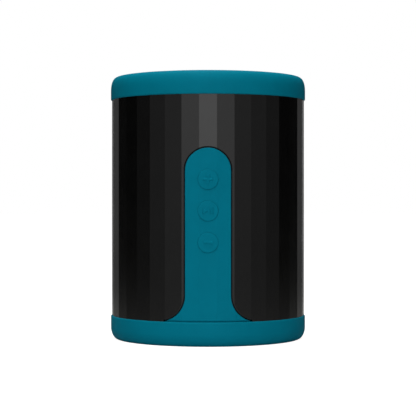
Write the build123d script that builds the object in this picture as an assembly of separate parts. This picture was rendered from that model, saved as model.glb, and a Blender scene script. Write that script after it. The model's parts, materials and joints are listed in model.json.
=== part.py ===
from build123d import *
import os
from math import atan2, cos, degrees, hypot, radians, sin, sqrt

# Portable bluetooth speaker: an upright cylinder that stands on its bottom cap.
# Millimetres, +Z up, front towards -Y, origin at the middle of the face it stands on.

# ---- Outside ----
HEIGHT = 112.5
CAP_RADIUS = 42.0
SIDES = 36  # flat facets round the sleeve, one of them facing the front
APOTHEM = 41.36  # from the axis to a facet
SHEET = 0.9  # thickness of the sleeve
LOW_LIP = 10.1  # height of the bottom cap's open edge
HIGH_LIP = 102.65  # height of the top cap's open edge
LIP_ROUND = 0.5
CAP_INNER = 40.4  # inner radius of both caps at the lip
TOP_CORNER = (3.2, 6.3, 2.44)  # width, height and power of the rim's soft corner
LOW_CORNER = (2.9, 4.9, 1.9)

# ---- Sleeve ----
NECK_OUTER = 40.3  # round ends of the sleeve, tucked inside the caps
NECK_INNER = 39.5
NECK_LENGTH = 2.3
SHOULDER = 1.0
SCRIM_OUTER = 40.3
SCRIM_INNER = 40.05
SCRIM_LOW = 11.4
SCRIM_HIGH = 101.4

# ---- Tongue, strip and keys at the front ----
TONGUE_HALF = 9.35  # half the tongue's width, and the radius of its arched top
ARCH_Z = 71.55
FLARE_Z = 20.7  # where the foot starts to flare
FLARE_RADIUS = 10.6
STRIP_FOOT_Z = 10.5
STRIP_REACH = 17.2
STRIP_INNER = 39.4  # apothem of the strip's back
STRIP_LEDGE = 40.7  # apothem of the thin step below the strip's foot
STRIP_ROUND = 0.35
STRIP_GAP = 0.32  # dark line round the strip
OPENING_ROUND = 0.35
OPENING_REACH = 18.0
CARRIER_INNER = 38.0
CARRIER_MARGIN = 3.0
CARRIER_REACH = 20.5
CARRIER_FOOT_REACH = 17.0
KEY_HEIGHTS = {"plus": 68.0, "play": 55.25, "minus": 42.4}
KEY_RADIUS = 4.05
KEY_CLEARANCE = 0.2
KEY_FACE = 41.61
KEY_ROUND = 0.3
KEY_TRAVEL = 0.5
FLANGE_RADIUS = 5.0
FLANGE_TOP = 40.5
FLANGE_BACK = 39.6
LEDGE = 40.6  # where the key's flange stops under the strip
LEDGE_RADIUS = 5.25
GLYPH = 4.0  # width of a raised mark
GLYPH_BAR = 1.2
GLYPH_RISE = 0.22
GLYPH_SLOPE = 38  # degrees that a mark's sides lean in
GLYPH_CORNER = 0.2
PEG_RADIUS = 1.5
PEG_END = 37.65
KEY_BOARD_FRONT = 35.3
KEY_BOARD_BACK = 34.1
KEY_BOARD_HALF = 8.0
KEY_BOARD_Z = (37.0, 74.0)
BOSS_HEIGHTS = (61.55, 48.95)
BOSS_X = 6.0
SWITCH_SIDE = 4.5
SWITCH_FRONT = 36.9
PLUNGER_TIP = 37.6
PLUNGER_RADIUS = 1.0
PLUNGER_BACK = 36.5

# ---- Port door at the rear ----
PORT_Z = 36.0
WINDOW_HALF = (11.0, 7.0)  # half width and half height of the sleeve's rear window
BEZEL_FACE = 39.8
BEZEL_CLEARANCE = 0.15
BEZEL_ROUND = 0.35
POCKET_ROUND = 0.15
BEZEL_FLANGE = (12.5, 8.5, 38.3)
BEZEL_BACK = 36.2
POCKET_HALF = (9.0, 4.8)
POCKET_FLOOR = 37.7
RECESS_HALF = (7.8, 3.3)
RECESS_FLOOR = 37.0
DOOR_HALF = (8.8, 4.6)
DOOR_BACK = 38.15
DOOR_FACE = 39.75
DOOR_ROUND = 0.3
PIN_RADIUS = 0.4
PIN_HALF = 9.8
PIN_CLEARANCE = 0.05
PORT_LINE = PORT_Z - 0.5  # height of both sockets' middles
USB_X = -2.9
AUX_X = 4.7
AUX_BORE = 1.8
AUX_DEPTH = 14.0
PORT_BOARD = 1.0
PORT_BOARD_TOP = PORT_LINE - 2.6
USB_SHELL = (9.0, 3.3)  # outside of the socket's shell
USB_WELL = (8.4, 2.6)  # inside of the shell
USB_BACK = 29.7
USB_FIT = 0.3  # room for the shell in the bezel
AUX_NOSE = 3.0
AUX_HALF = 2.6
LUG_HALF = 1.6
LUG_Y = 31.0  # distance of both lug screws from the axis
POCKET_CORNER = 1.5
RECESS_CORNER = 1.2
DOOR_CORNER = 1.4
GRIP_HALF = 4.0  # half length of the door's finger bar
GRIP_RISE = 0.6
LUG_X = 9.8

# ---- Inner frame ----
POST_RADIUS = 3.2
POST_CIRCLE = 30.0
POST_ANGLES = (35, 145, 225, 315)
SCREW = 1.25
SCREW_HEAD = 2.5
COVER_RADIUS = 33.2
PLATE_WALL = 39.4  # outer radius of both plates' walls, inside the sleeve's necks
PLATE_FLANGE = 40.3
BASE_FLOOR = 4.5
ROOF = 110.45
ROOF_UNDER = 108.2
BOX_RADIUS = 34.5  # enclosure
BOX_FRONT = -33.0
BOX_REAR = 27.0
BOX_WALL = 2.2
BOX_LOW = 20.0
BOX_HIGH = 79.2
BAFFLE = (80.0, 83.0)
DEFLECTOR = (99.0, 101.0)

# ---- Driver, firing upwards through the baffle ----
DRIVER_HOLE = 24.2
BASKET_RADIUS = 26.5
BASKET_TOP = 84.8
MAGNET_RADIUS = 18.5
YOKE_LOW = 55.0
ROLL_MIDDLE = 20.9
ROLL_RADIUS = 2.1
ROLL_SHEET = 0.4
COIL_RADIUS = 9.15
DOME_TOP = 79.0
DOME_RADIUS = 22.0
DOME_EDGE = 10.8
DRIVER_SCREW_CIRCLE = 25.2

# ---- Passive radiator, facing down ----
RADIATOR_RADIUS = 26.6
RADIATOR_HOLE = 22.0
RADIATOR_DISC = 17.4
RADIATOR_ROLL = 19.6
RADIATOR_SCREW_CIRCLE = 25.0

# ---- Battery and main board, inside the enclosure ----
BATTERY = ((-24.0, 24.0), (-14.0, -4.0), (28.5, 52.5))
TRAY_Y = (-3.9, -2.4)
TRAY_HALF = 25.5
BOARD_Y = (3.0, 4.2)
BOARD_HALF = 22.0
BOARD_Z = (28.0, 53.0)
BOARD_HOLES = ((-19.0, 31.0), (19.0, 31.0), (-19.0, 50.0), (19.0, 50.0))
LEAD_RADIUS = 0.7
RIBBON_X = 5.0
RIBBON_HALF = 3.0
RIBBON_SHEET = 0.3

BOTTOM = (Align.CENTER, Align.CENTER, Align.MIN)
CORNER = (Align.MIN, Align.MIN, Align.MIN)


# ---- Shapes that repeat ----
def disc(radius, low, high, x=0.0, y=0.0):
    """Upright cylinder between two heights."""
    return Pos(x, y, low) * Cylinder(radius, high - low, align=BOTTOM)


def ring(outer, inner, low, high):
    """Upright tube about the Z axis."""
    return disc(outer, low, high) - disc(inner, low, high)


def block(x, y, z):
    """Box with a low and a high value along each axis."""
    sizes = [high - low for low, high in (x, y, z)]
    return Pos(x[0], y[0], z[0]) * Box(*sizes, align=CORNER)


def rod(radius, x, z, near, far):
    """Cylinder along Y between two distances."""
    return Pos(x, near, z) * Rot(-90, 0, 0) * Cylinder(radius, far - near, align=BOTTOM)


def prism(apothem, low=0.0, high=HEIGHT):
    """Bar of 36 flat facets about the Z axis, with one facet square to the front."""
    outline = RegularPolygon(apothem, SIDES, major_radius=False, rotation=180 / SIDES)
    return extrude(Pos(0, 0, low) * outline, high - low)


def turned(*points):
    """Solid turned about Z from an outline of (radius, height) points."""
    outline = Polyline(*[(radius, 0, height) for radius, height in points], close=True)
    return revolve(make_face(outline), Axis.Z)


def around(count, radius, start=0.0):
    """Evenly spaced places on a circle."""
    angles = [radians(start + 360 * i / count) for i in range(count)]
    return [(radius * cos(a), radius * sin(a)) for a in angles]


def post_places():
    """The four places of the long screws and their posts."""
    return [
        (POST_CIRCLE * cos(radians(a)), POST_CIRCLE * sin(radians(a))) for a in POST_ANGLES
    ]


def front_bar(outline):
    """Outline on the front plane, run from the axis out through the front."""
    return extrude(Plane.XZ * outline, CAP_RADIUS + 5)


def together(solids):
    """One node that holds several separate pieces of the same kind."""
    return Compound(children=list(solids))


def screw(x, y, tip, seat, shank=SCREW, head=SCREW_HEAD, rise=1.6):
    """Pan head screw along Z, from its tip to the seat under its head, with a socket in the head."""
    way = 1 if seat > tip else -1
    body = disc(shank, min(tip, seat), max(tip, seat), x, y)
    crown = disc(head, min(seat, seat + way * rise), max(seat, seat + way * rise), x, y)
    outside = seat + way * rise
    socket = extrude(Pos(x, y, outside) * RegularPolygon(head * 0.5, 6), -way * rise * 0.6)
    return body + crown - socket


def bent(points, radii, tube):
    """Round lead along straight runs joined by arcs, with one radius for each corner."""
    route = FilletPolyline(*points, radius=radii)
    section = Plane(origin=route @ 0, z_dir=route % 0) * Circle(tube)
    return sweep(section, route)


# ---- Caps ----
def soft_corner(flat, upright, power):
    """Curve from the flat end to the upright side, with both its ends tangent to them."""
    steps = 7
    points = []
    for i in range(steps + 1):
        turn = radians(90 * i / steps)
        out = abs(sin(turn)) ** (2 / power)
        up = abs(cos(turn)) ** (2 / power)
        radius = flat[0] + (upright[0] - flat[0]) * out
        points.append((radius, 0, upright[1] + (flat[1] - upright[1]) * up))
    way = 1 if upright[1] > flat[1] else -1
    return Spline(*points, tangents=[(1, 0, 0), (0, 0, way)])


def cap(end, lip, corner, inside):
    """Soft cap: a flat end, a soft corner, an upright side, a rounded lip and an inside outline."""
    width, height, power = corner
    way = 1 if lip > end else -1
    flat = (CAP_RADIUS - width, end)
    upright = (CAP_RADIUS, end + way * height)
    round_start = lip - way * LIP_ROUND
    slant = LIP_ROUND * sqrt(0.5)
    lip_middle = (CAP_RADIUS - LIP_ROUND + slant, 0, round_start + way * slant)
    lip_end = (CAP_RADIUS - LIP_ROUND, 0, lip)
    edges = [
        Line((inside[-1][0], 0, end), (flat[0], 0, end)),
        soft_corner(flat, upright, power),
        Line((CAP_RADIUS, 0, upright[1]), (CAP_RADIUS, 0, round_start)),
        ThreePointArc((CAP_RADIUS, 0, round_start), lip_middle, lip_end),
        Polyline(lip_end, *[(r, 0, z) for r, z in inside], (inside[-1][0], 0, end)),
    ]
    return revolve(make_face(edges), Axis.Z)


TOP_INSIDE = ((CAP_INNER, 105.5), (39.9, 108.6), (38.5, 110.0), (36.5, 110.5))
LOW_FLANGE = (33.5, 2.5)  # inner edge of the bottom cap's floor, and its upper face


def top_cap():
    inside = [(CAP_INNER, HIGH_LIP), *TOP_INSIDE, (0, TOP_INSIDE[-1][1])]
    return cap(HEIGHT, HIGH_LIP, TOP_CORNER, inside)


def bottom_cap():
    inside = [(CAP_INNER, LOW_LIP), (CAP_INNER, 5.5), (38.4, LOW_FLANGE[1]), LOW_FLANGE]
    return cap(0.0, LOW_LIP, LOW_CORNER, inside)


def base_cover():
    """Thin cover over the base screws, with two moulded rings."""
    cover = disc(COVER_RADIUS, 0.4, 1.55)
    for radius in (31.0, 12.0):
        cover -= ring(radius, radius - 0.8, 0.4, 0.7)
    return cover


# ---- Tongue outline ----
def tongue(grow, reach, bottom):
    """Arch, straight sides and flared foot on the front plane, grown outwards by grow."""
    half = TONGUE_HALF + grow
    foot = Pos(0, (FLARE_Z + bottom) / 2) * Rectangle(2 * reach, FLARE_Z - bottom)
    for side in (-1, 1):
        middle = side * (TONGUE_HALF + FLARE_RADIUS)
        foot -= Pos(middle, FLARE_Z) * Circle(FLARE_RADIUS - grow)
    stem = Pos(0, (ARCH_Z + bottom) / 2) * Rectangle(2 * half, ARCH_Z - bottom)
    return stem + foot + Pos(0, ARCH_Z) * Circle(half)


def off_facet(point):
    """Degrees round the axis from a point to the middle of its facet."""
    turn = degrees(atan2(point.X, -point.Y))
    facet = 360 / SIDES
    return turn - facet * round(turn / facet)


def tongue_edges(solid, low):
    """Edges round the tongue on the outer facets, above low, without the lines between facets."""
    chosen = []
    for edge in solid.edges():
        points = [edge @ 0, edge @ 0.5, edge @ 1]
        reaches = [hypot(p.X, p.Y) * cos(radians(off_facet(p))) for p in points]
        outside = all(abs(reach - APOTHEM) < 0.001 for reach in reaches)
        fold = abs(abs(off_facet(points[1])) - 180 / SIDES) < 0.001
        if outside and not fold and low < points[1].Z < ARCH_Z + 2 * TONGUE_HALF:
            chosen.append(edge)
    return chosen


def opening():
    """The sleeve's front opening."""
    return front_bar(tongue(STRIP_GAP, OPENING_REACH, LOW_LIP))


def control_strip():
    shell = prism(APOTHEM) - prism(STRIP_INNER)
    strip = front_bar(tongue(0, STRIP_REACH, STRIP_FOOT_Z)) & shell
    ledge_foot = LOW_LIP + 0.05
    ledge_bar = front_bar(
        Pos(0, (ledge_foot + STRIP_FOOT_Z) / 2)
        * Rectangle(2 * STRIP_REACH, STRIP_FOOT_Z - ledge_foot)
    )
    strip += ledge_bar & (prism(STRIP_LEDGE) - prism(STRIP_INNER))
    strip = fillet(tongue_edges(strip, STRIP_FOOT_Z - 0.1), STRIP_ROUND)
    for height in KEY_HEIGHTS.values():
        strip -= rod(KEY_RADIUS + KEY_CLEARANCE, 0, height, -CAP_RADIUS, -CARRIER_INNER)
        strip -= rod(LEDGE_RADIUS, 0, height, -LEDGE, -CARRIER_INNER)
    return strip


def strip_carrier():
    """Black frame behind the strip: it closes the opening and holds the key board."""
    outline = tongue(CARRIER_MARGIN, CARRIER_REACH, SCRIM_LOW) + tongue(
        STRIP_GAP, CARRIER_FOOT_REACH, LOW_LIP + 0.05
    )
    back = prism(APOTHEM - SHEET) - prism(CARRIER_INNER)
    carrier = front_bar(outline) & back
    carrier -= opening() & (prism(APOTHEM) - prism(STRIP_INNER))
    for x in (-BOSS_X, BOSS_X):
        for z in BOSS_HEIGHTS:
            carrier += rod(1.5, x, z, -CARRIER_INNER, -KEY_BOARD_FRONT)
            carrier -= rod(0.7, x, z, -CARRIER_INNER + 1, -KEY_BOARD_FRONT)
    for height in KEY_HEIGHTS.values():
        carrier -= rod(LEDGE_RADIUS + 0.05, 0, height, -CAP_RADIUS, -CARRIER_INNER + 2)
    return carrier


# ---- Keys ----
def plus_mark():
    bar = Rectangle(GLYPH, GLYPH_BAR)
    cross = bar + Rot(0, 0, 90) * bar
    return [fillet(cross.vertices(), GLYPH_CORNER)]


def minus_mark():
    return [fillet(Rectangle(GLYPH, GLYPH_BAR).vertices(), GLYPH_CORNER)]


def play_mark():
    """Triangle and two bars side by side, with soft corners."""
    triangle = Polygon((-2.3, -1.5), (-2.3, 1.5), (0.1, 0), align=None)
    bars = [Pos(x, 0) * Rectangle(0.8, 2.8) for x in (0.8, 2.0)]
    return [fillet(shape.vertices(), GLYPH_CORNER) for shape in (triangle, *bars)]


def key(height, mark):
    """Round key: face, raised mark, flange behind the strip and peg onto its switch."""
    face = rod(KEY_RADIUS, 0, height, -KEY_FACE, -FLANGE_TOP)
    face = fillet(face.edges().group_by(Axis.Y)[0], KEY_ROUND)
    front = Plane.XZ.offset(KEY_FACE) * Pos(0, height)
    for shape in mark:
        face += extrude(front * shape, GLYPH_RISE, taper=GLYPH_SLOPE)
    flange = rod(FLANGE_RADIUS, 0, height, -FLANGE_TOP, -FLANGE_BACK)
    peg = rod(PEG_RADIUS, 0, height, -FLANGE_BACK, -PEG_END)
    return face + flange + peg


def plunger(height):
    """Stem of one switch."""
    return rod(PLUNGER_RADIUS, 0, height, -PLUNGER_TIP, -PLUNGER_BACK)


def switch_bodies():
    """The three switches, each with a well for its plunger."""
    half = SWITCH_SIDE / 2
    well = PLUNGER_BACK - KEY_TRAVEL - 0.2
    bodies = []
    for z in KEY_HEIGHTS.values():
        case = block((-half, half), (-SWITCH_FRONT, -KEY_BOARD_FRONT), (z - half, z + half))
        bodies.append(case - rod(PLUNGER_RADIUS + 0.1, 0, z, -SWITCH_FRONT, -well))
    return together(bodies)


def key_board():
    x = (-KEY_BOARD_HALF, KEY_BOARD_HALF)
    board = block(x, (-KEY_BOARD_FRONT, -KEY_BOARD_BACK), KEY_BOARD_Z)
    for side in (-BOSS_X, BOSS_X):
        for z in BOSS_HEIGHTS:
            board -= rod(0.75, side, z, -KEY_BOARD_FRONT, -KEY_BOARD_BACK)
    return board


def key_board_screws():
    pieces = []
    for x in (-BOSS_X, BOSS_X):
        for z in BOSS_HEIGHTS:
            shank = rod(0.65, x, z, -CARRIER_INNER + 1.2, -KEY_BOARD_BACK)
            pieces.append(shank + rod(1.4, x, z, -KEY_BOARD_BACK, -KEY_BOARD_BACK + 0.8))
    return together(pieces)


# ---- Sleeve ----
def rear_block(half_width, half_height, near, far):
    """Box centred on the port door, between two distances along Y."""
    return block((-half_width, half_width), (near, far), (PORT_Z - half_height, PORT_Z + half_height))


def grille_sleeve():
    sleeve = prism(APOTHEM, LOW_LIP, HIGH_LIP) - prism(APOTHEM - SHEET, LOW_LIP, HIGH_LIP)
    shoulders = prism(APOTHEM, LOW_LIP, LOW_LIP + SHOULDER) + prism(
        APOTHEM, HIGH_LIP - SHOULDER, HIGH_LIP
    )
    shoulders -= disc(NECK_INNER, 0, HEIGHT)
    clear = CARRIER_REACH + 0.5
    shoulders -= block((-clear, clear), (-CAP_RADIUS, 0), (0, SCRIM_LOW)) & prism(APOTHEM - SHEET)
    sleeve += shoulders
    sleeve += ring(NECK_OUTER, NECK_INNER, LOW_LIP - NECK_LENGTH, LOW_LIP)
    sleeve += ring(NECK_OUTER, NECK_INNER, HIGH_LIP, HIGH_LIP + NECK_LENGTH)
    sleeve -= opening()
    sleeve = fillet(tongue_edges(sleeve, LOW_LIP + 0.2), OPENING_ROUND)
    return sleeve - rear_block(*WINDOW_HALF, BOX_REAR, CAP_RADIUS)


def acoustic_scrim():
    """Thin dust cloth inside the sleeve."""
    scrim = ring(SCRIM_OUTER, SCRIM_INNER, SCRIM_LOW, SCRIM_HIGH)
    scrim -= front_bar(tongue(CARRIER_MARGIN + 0.3, CARRIER_REACH + 0.3, LOW_LIP))
    return scrim - rear_block(BEZEL_FLANGE[0] + 0.8, BEZEL_FLANGE[1] + 0.7, 0, CAP_RADIUS)


# ---- Port door ----
PIN_Y = (DOOR_BACK + DOOR_FACE) / 2
PIN_Z = PORT_Z + DOOR_HALF[1] - (DOOR_FACE - DOOR_BACK) / 2


def bar_x(radius, half_length):
    """Cylinder along X at the door's hinge."""
    return Pos(0, PIN_Y, PIN_Z) * Rot(0, 90, 0) * Cylinder(radius, 2 * half_length)


def usb_outline(width, height):
    """Bar with round ends along Y, as long as the port space."""
    slot = SlotOverall(width, height)
    return extrude(Plane.XZ * Pos(USB_X, PORT_LINE) * slot, -CAP_RADIUS)


def port_bezel():
    half_x, half_z, flange_face = BEZEL_FLANGE
    bezel = rear_block(half_x, half_z, BEZEL_BACK, flange_face)
    nose_x, nose_z = [half - BEZEL_CLEARANCE for half in WINDOW_HALF]
    nose = rear_block(nose_x, nose_z, BEZEL_BACK, BEZEL_FACE)
    bezel += fillet(nose.edges().group_by(Axis.Y)[-1], BEZEL_ROUND)
    pocket = rear_block(*POCKET_HALF, POCKET_FLOOR, CAP_RADIUS)
    bezel -= fillet(pocket.edges().filter_by(Axis.Y).group_by(Axis.Z)[0], POCKET_CORNER)
    mouth = [
        edge
        for edge in bezel.edges().filter_by_position(Axis.Y, BEZEL_FACE - 0.01, BEZEL_FACE + 0.01)
        if abs((edge @ 0.5).X) < nose_x - 1 and abs((edge @ 0.5).Z - PORT_Z) < nose_z - 1
    ]
    bezel = fillet(mouth, POCKET_ROUND)
    recess = rear_block(*RECESS_HALF, RECESS_FLOOR, CAP_RADIUS)
    bezel -= Pos(0, 0, PORT_LINE - PORT_Z) * fillet(
        recess.edges().filter_by(Axis.Y), RECESS_CORNER
    )
    bezel -= usb_outline(USB_SHELL[0] + USB_FIT, USB_SHELL[1] + USB_FIT)
    bezel -= rod(AUX_NOSE + 0.1, AUX_X, PORT_LINE, BEZEL_BACK - 1, CAP_RADIUS)
    bezel -= bar_x(PIN_RADIUS, PIN_HALF)
    lug_top = PORT_BOARD_TOP - PORT_BOARD
    for side in (-1, 1):
        middle = side * LUG_X
        lug_x = (middle - LUG_HALF, middle + LUG_HALF)
        lug = block(lug_x, (LUG_Y - 2.5, BEZEL_BACK), (lug_top - 3, lug_top))
        bezel += lug - disc(0.85, lug_top - 2.2, lug_top, middle, LUG_Y)
    return bezel


def is_along_y(edge):
    """Whether an edge runs from front to back."""
    return abs(((edge @ 1) - (edge @ 0)).Y) > 0.1


def port_door():
    """Flap with a round top edge about the hinge pin, a plug rib behind and a finger bar."""
    half_x, half_z = DOOR_HALF
    low = PORT_Z - half_z
    flap = block((-half_x, half_x), (DOOR_BACK, DOOR_FACE), (low, PIN_Z))
    flap = fillet(flap.edges().filter_by(Axis.Y).group_by(Axis.Z)[0], DOOR_CORNER)
    rim = flap.edges().group_by(Axis.Z)[-1]
    flap = fillet([e for e in flap.edges() if e not in rim and not is_along_y(e)], DOOR_ROUND)
    barrel = bar_x((DOOR_FACE - DOOR_BACK) / 2, half_x)
    flap += fillet(barrel.edges().filter_by(GeomType.CIRCLE), DOOR_ROUND)
    rib_z = (PORT_LINE - RECESS_HALF[1] + 0.4, PORT_LINE + RECESS_HALF[1] - 0.4)
    rib_x = RECESS_HALF[0] - 0.4
    rib = block((-rib_x, rib_x), (DOOR_BACK - 0.8, DOOR_BACK), rib_z)
    flap += fillet(rib.edges().filter_by(Axis.Y), 0.9)
    grip_y = (DOOR_BACK, DOOR_FACE + GRIP_RISE)
    grip = block((-GRIP_HALF, GRIP_HALF), grip_y, (low + 0.7, low + 1.9))
    grip = fillet(grip.edges().filter_by(Axis.Y), 0.45)
    flap += fillet(grip.edges().group_by(Axis.Y)[-1], 0.25)
    return flap - bar_x(PIN_RADIUS + PIN_CLEARANCE, PIN_HALF)


def door_pin():
    return bar_x(PIN_RADIUS, PIN_HALF)


def door_seal():
    """Flat gasket on the pocket's floor, round the recess."""
    low, high = POCKET_FLOOR, POCKET_FLOOR + 0.4
    outer = rear_block(RECESS_HALF[0] + 0.75, RECESS_HALF[1] + 0.55, low, high)
    inner = rear_block(RECESS_HALF[0] + 0.05, RECESS_HALF[1] + 0.05, low, high)
    gasket = fillet(outer.edges().filter_by(Axis.Y), RECESS_CORNER + 0.2)
    gasket -= fillet(inner.edges().filter_by(Axis.Y), RECESS_CORNER)
    return Pos(0, 0, PORT_LINE - PORT_Z) * gasket


def port_board():
    low, high = PORT_BOARD_TOP - PORT_BOARD, PORT_BOARD_TOP
    board = block((-11.5, 11.5), (23.3, 36.0), (low, high))
    for side in (-1, 1):
        board -= disc(0.9, low, high, side * LUG_X, LUG_Y)
    return board


def port_board_screws():
    tip, seat = PORT_BOARD_TOP - 3.1, PORT_BOARD_TOP
    return together(
        screw(side * LUG_X, LUG_Y, tip, seat, shank=0.8, head=1.3, rise=1.0) for side in (-1, 1)
    )


def usb_socket():
    """Stadium shell with a tongue inside, on a foot that stands on the port board."""
    across = (-CAP_RADIUS, CAP_RADIUS)
    well_end = USB_BACK + 1.3
    outside, well = usb_outline(*USB_SHELL), usb_outline(*USB_WELL)
    shell = (outside - well) & block(across, (USB_BACK, RECESS_FLOOR), (0, HEIGHT))
    back = outside & block(across, (USB_BACK, well_end), (0, HEIGHT))
    blade_x, blade_z = (USB_X - 3.35, USB_X + 3.35), (PORT_LINE - 0.35, PORT_LINE + 0.35)
    blade = block(blade_x, (well_end, RECESS_FLOOR - 0.7), blade_z)
    foot = block((USB_X - 4, USB_X + 4), (USB_BACK, 34.5), (PORT_BOARD_TOP, PORT_LINE - 1.5))
    return shell + back + blade + (foot - well)


def aux_socket():
    """Headphone socket: a square body with a round nose and the bore for the plug."""
    width = (AUX_X - AUX_NOSE, AUX_X + AUX_NOSE)
    body = block(width, (22.7, BEZEL_BACK), (PORT_LINE - AUX_HALF, PORT_LINE + AUX_HALF))
    nose = rod(AUX_NOSE, AUX_X, PORT_LINE, BEZEL_BACK, RECESS_FLOOR)
    return body + nose - rod(AUX_BORE, AUX_X, PORT_LINE, RECESS_FLOOR - AUX_DEPTH, RECESS_FLOOR)


# ---- Plates, posts and the sound deflector ----
def top_plate():
    """Upside down tray under the top cap, with four posts down to the baffle."""
    outline = [
        (PLATE_WALL, DEFLECTOR[0]),
        (PLATE_WALL, HIGH_LIP + NECK_LENGTH + 0.05),
        (PLATE_FLANGE, HIGH_LIP + NECK_LENGTH + 0.05),
        *[(radius - 0.05, height - 0.05) for radius, height in TOP_INSIDE],
        (0, ROOF),
        (0, ROOF_UNDER),
        (36.0, ROOF_UNDER),
        (37.4, 106.8),
        (37.4, DEFLECTOR[0]),
    ]
    plate = turned(*outline)
    for x, y in post_places():
        plate += disc(POST_RADIUS, BAFFLE[1], ROOF_UNDER, x, y)
        plate -= disc(SCREW + 0.1, BAFFLE[1], ROOF, x, y)
        plate -= disc(SCREW_HEAD + 0.2, ROOF - 2.0, ROOF, x, y)
    return plate


def top_plate_screws():
    """Long screws through the posts into the enclosure."""
    return together(screw(x, y, 68.0, ROOF - 2.0) for x, y in post_places())


def sound_deflector():
    """Hollow trumpet over the driver that turns its sound outwards."""
    low, high = DEFLECTOR
    outside = [
        Line((0, 0, 89.2), (2.0, 0, 89.2)),
        ThreePointArc((2.0, 0, 89.2), (12.0, 0, 95.8), (32.0, 0, low)),
        Polyline((32.0, 0, low), (37.3, 0, low), (37.3, 0, high), (0, 0, high), (0, 0, 89.2)),
    ]
    hollow = [
        Line((0, 0, 92.0), (2.0, 0, 92.0)),
        ThreePointArc((2.0, 0, 92.0), (11.0, 0, 97.8), (26.0, 0, high)),
        Polyline((26.0, 0, high), (0, 0, high), (0, 0, 92.0)),
    ]
    trumpet = revolve(make_face(outside), Axis.Z) - revolve(make_face(hollow), Axis.Z)
    for x, y in post_places():
        trumpet -= disc(POST_RADIUS + 0.1, 89.0, high, x, y)
    return trumpet


def base_plate():
    """Tray in the bottom cap, with a low cone under the radiator and four posts."""
    plate = turned(
        (0, 1.6),
        (LOW_FLANGE[0] - 0.1, 1.6),
        (LOW_FLANGE[0] - 0.1, LOW_FLANGE[1] + 0.05),
        (38.3, LOW_FLANGE[1] + 0.05),
        (PLATE_FLANGE, 5.55),
        (PLATE_FLANGE, LOW_LIP - NECK_LENGTH - 0.1),
        (PLATE_WALL, LOW_LIP - NECK_LENGTH - 0.1),
        (PLATE_WALL, 9.8),
        (37.4, 9.8),
        (37.4, 5.2),
        (36.4, BASE_FLOOR),
        (22.0, BASE_FLOOR),
        (6.0, 9.0),
        (0, 9.5),
    )
    for x, y in post_places():
        plate += disc(POST_RADIUS, BASE_FLOOR, BOX_LOW, x, y)
        plate -= disc(SCREW + 0.1, 0, BOX_LOW, x, y)
        plate -= disc(SCREW_HEAD + 0.2, 0, 3.4, x, y)
    return plate


def base_screws():
    return together(screw(x, y, 26.5, 3.4) for x, y in post_places())


# ---- Enclosure and baffle ----
def box_outline(inset, low, high):
    """Round bar with flats at the front and rear, inset from the enclosure's outside."""
    bar = disc(BOX_RADIUS - inset, low, high)
    span = (-BOX_RADIUS, BOX_RADIUS)
    return bar & block(span, (BOX_FRONT + inset, BOX_REAR - inset), (low, high))


def baffle_screw_places():
    return ((29.8, 0.0), (-29.8, 0.0), (0.0, -28.6))


def enclosure():
    """Sealed cup: radiator hole below, open top, and a pocket at the rear for the sockets."""
    floor = BOX_LOW + BOX_WALL
    pocket_x, pocket_z, pocket_y = 13.0, 8.5, 22.5
    wall = 2.0
    room = box_outline(BOX_WALL, floor, BOX_HIGH)
    room -= rear_block(pocket_x + wall, pocket_z + wall, pocket_y - wall, BOX_REAR)
    for x, y in post_places():
        room -= disc(POST_RADIUS, floor, 30.0, x, y) + disc(POST_RADIUS, 66.0, BOX_HIGH, x, y)
    for x, y in baffle_screw_places():
        room -= disc(2.7, 70.0, BOX_HIGH, x, y)
    cup = box_outline(0, BOX_LOW, BOX_HIGH) - room
    cup -= rear_block(pocket_x, pocket_z, pocket_y, BOX_REAR)
    cup -= disc(RADIATOR_HOLE, BOX_LOW, floor)
    for x, y in post_places():
        cup -= disc(SCREW + 0.05, BOX_LOW, 27.0, x, y)
        cup -= disc(SCREW + 0.05, 67.5, BOX_HIGH, x, y)
    for x, y in baffle_screw_places():
        cup -= disc(1.0, 72.0, BOX_HIGH, x, y)
    for x, y in around(6, RADIATOR_SCREW_CIRCLE, 30):
        cup -= disc(0.95, BOX_LOW, 22.1, x, y)
    ribbon_slot = (RIBBON_X - RIBBON_HALF - 0.5, RIBBON_X + RIBBON_HALF + 0.5)
    cup -= block(ribbon_slot, (BOX_FRONT - 1, BOX_FRONT + BOX_WALL), (32.3, 33.7))
    return cup - rod(1.3, LUG_X, PORT_LINE, pocket_y - wall - 1, pocket_y)


def baffle():
    plate = box_outline(0, *BAFFLE) - disc(DRIVER_HOLE, *BAFFLE)
    for x, y in post_places():
        plate -= disc(SCREW + 0.15, *BAFFLE, x, y)
    for x, y in baffle_screw_places():
        plate -= disc(1.1, *BAFFLE, x, y)
    for x, y in around(4, DRIVER_SCREW_CIRCLE, 45):
        plate -= disc(0.75, 81.0, BAFFLE[1], x, y)
    return plate


def baffle_seal():
    return box_outline(0, BOX_HIGH, BAFFLE[0]) - box_outline(BOX_WALL - 0.2, BOX_HIGH, BAFFLE[0])


def baffle_screws():
    return together(
        screw(x, y, 73.0, BAFFLE[1], shank=0.95, head=2.0, rise=1.4)
        for x, y in baffle_screw_places()
    )


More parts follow.
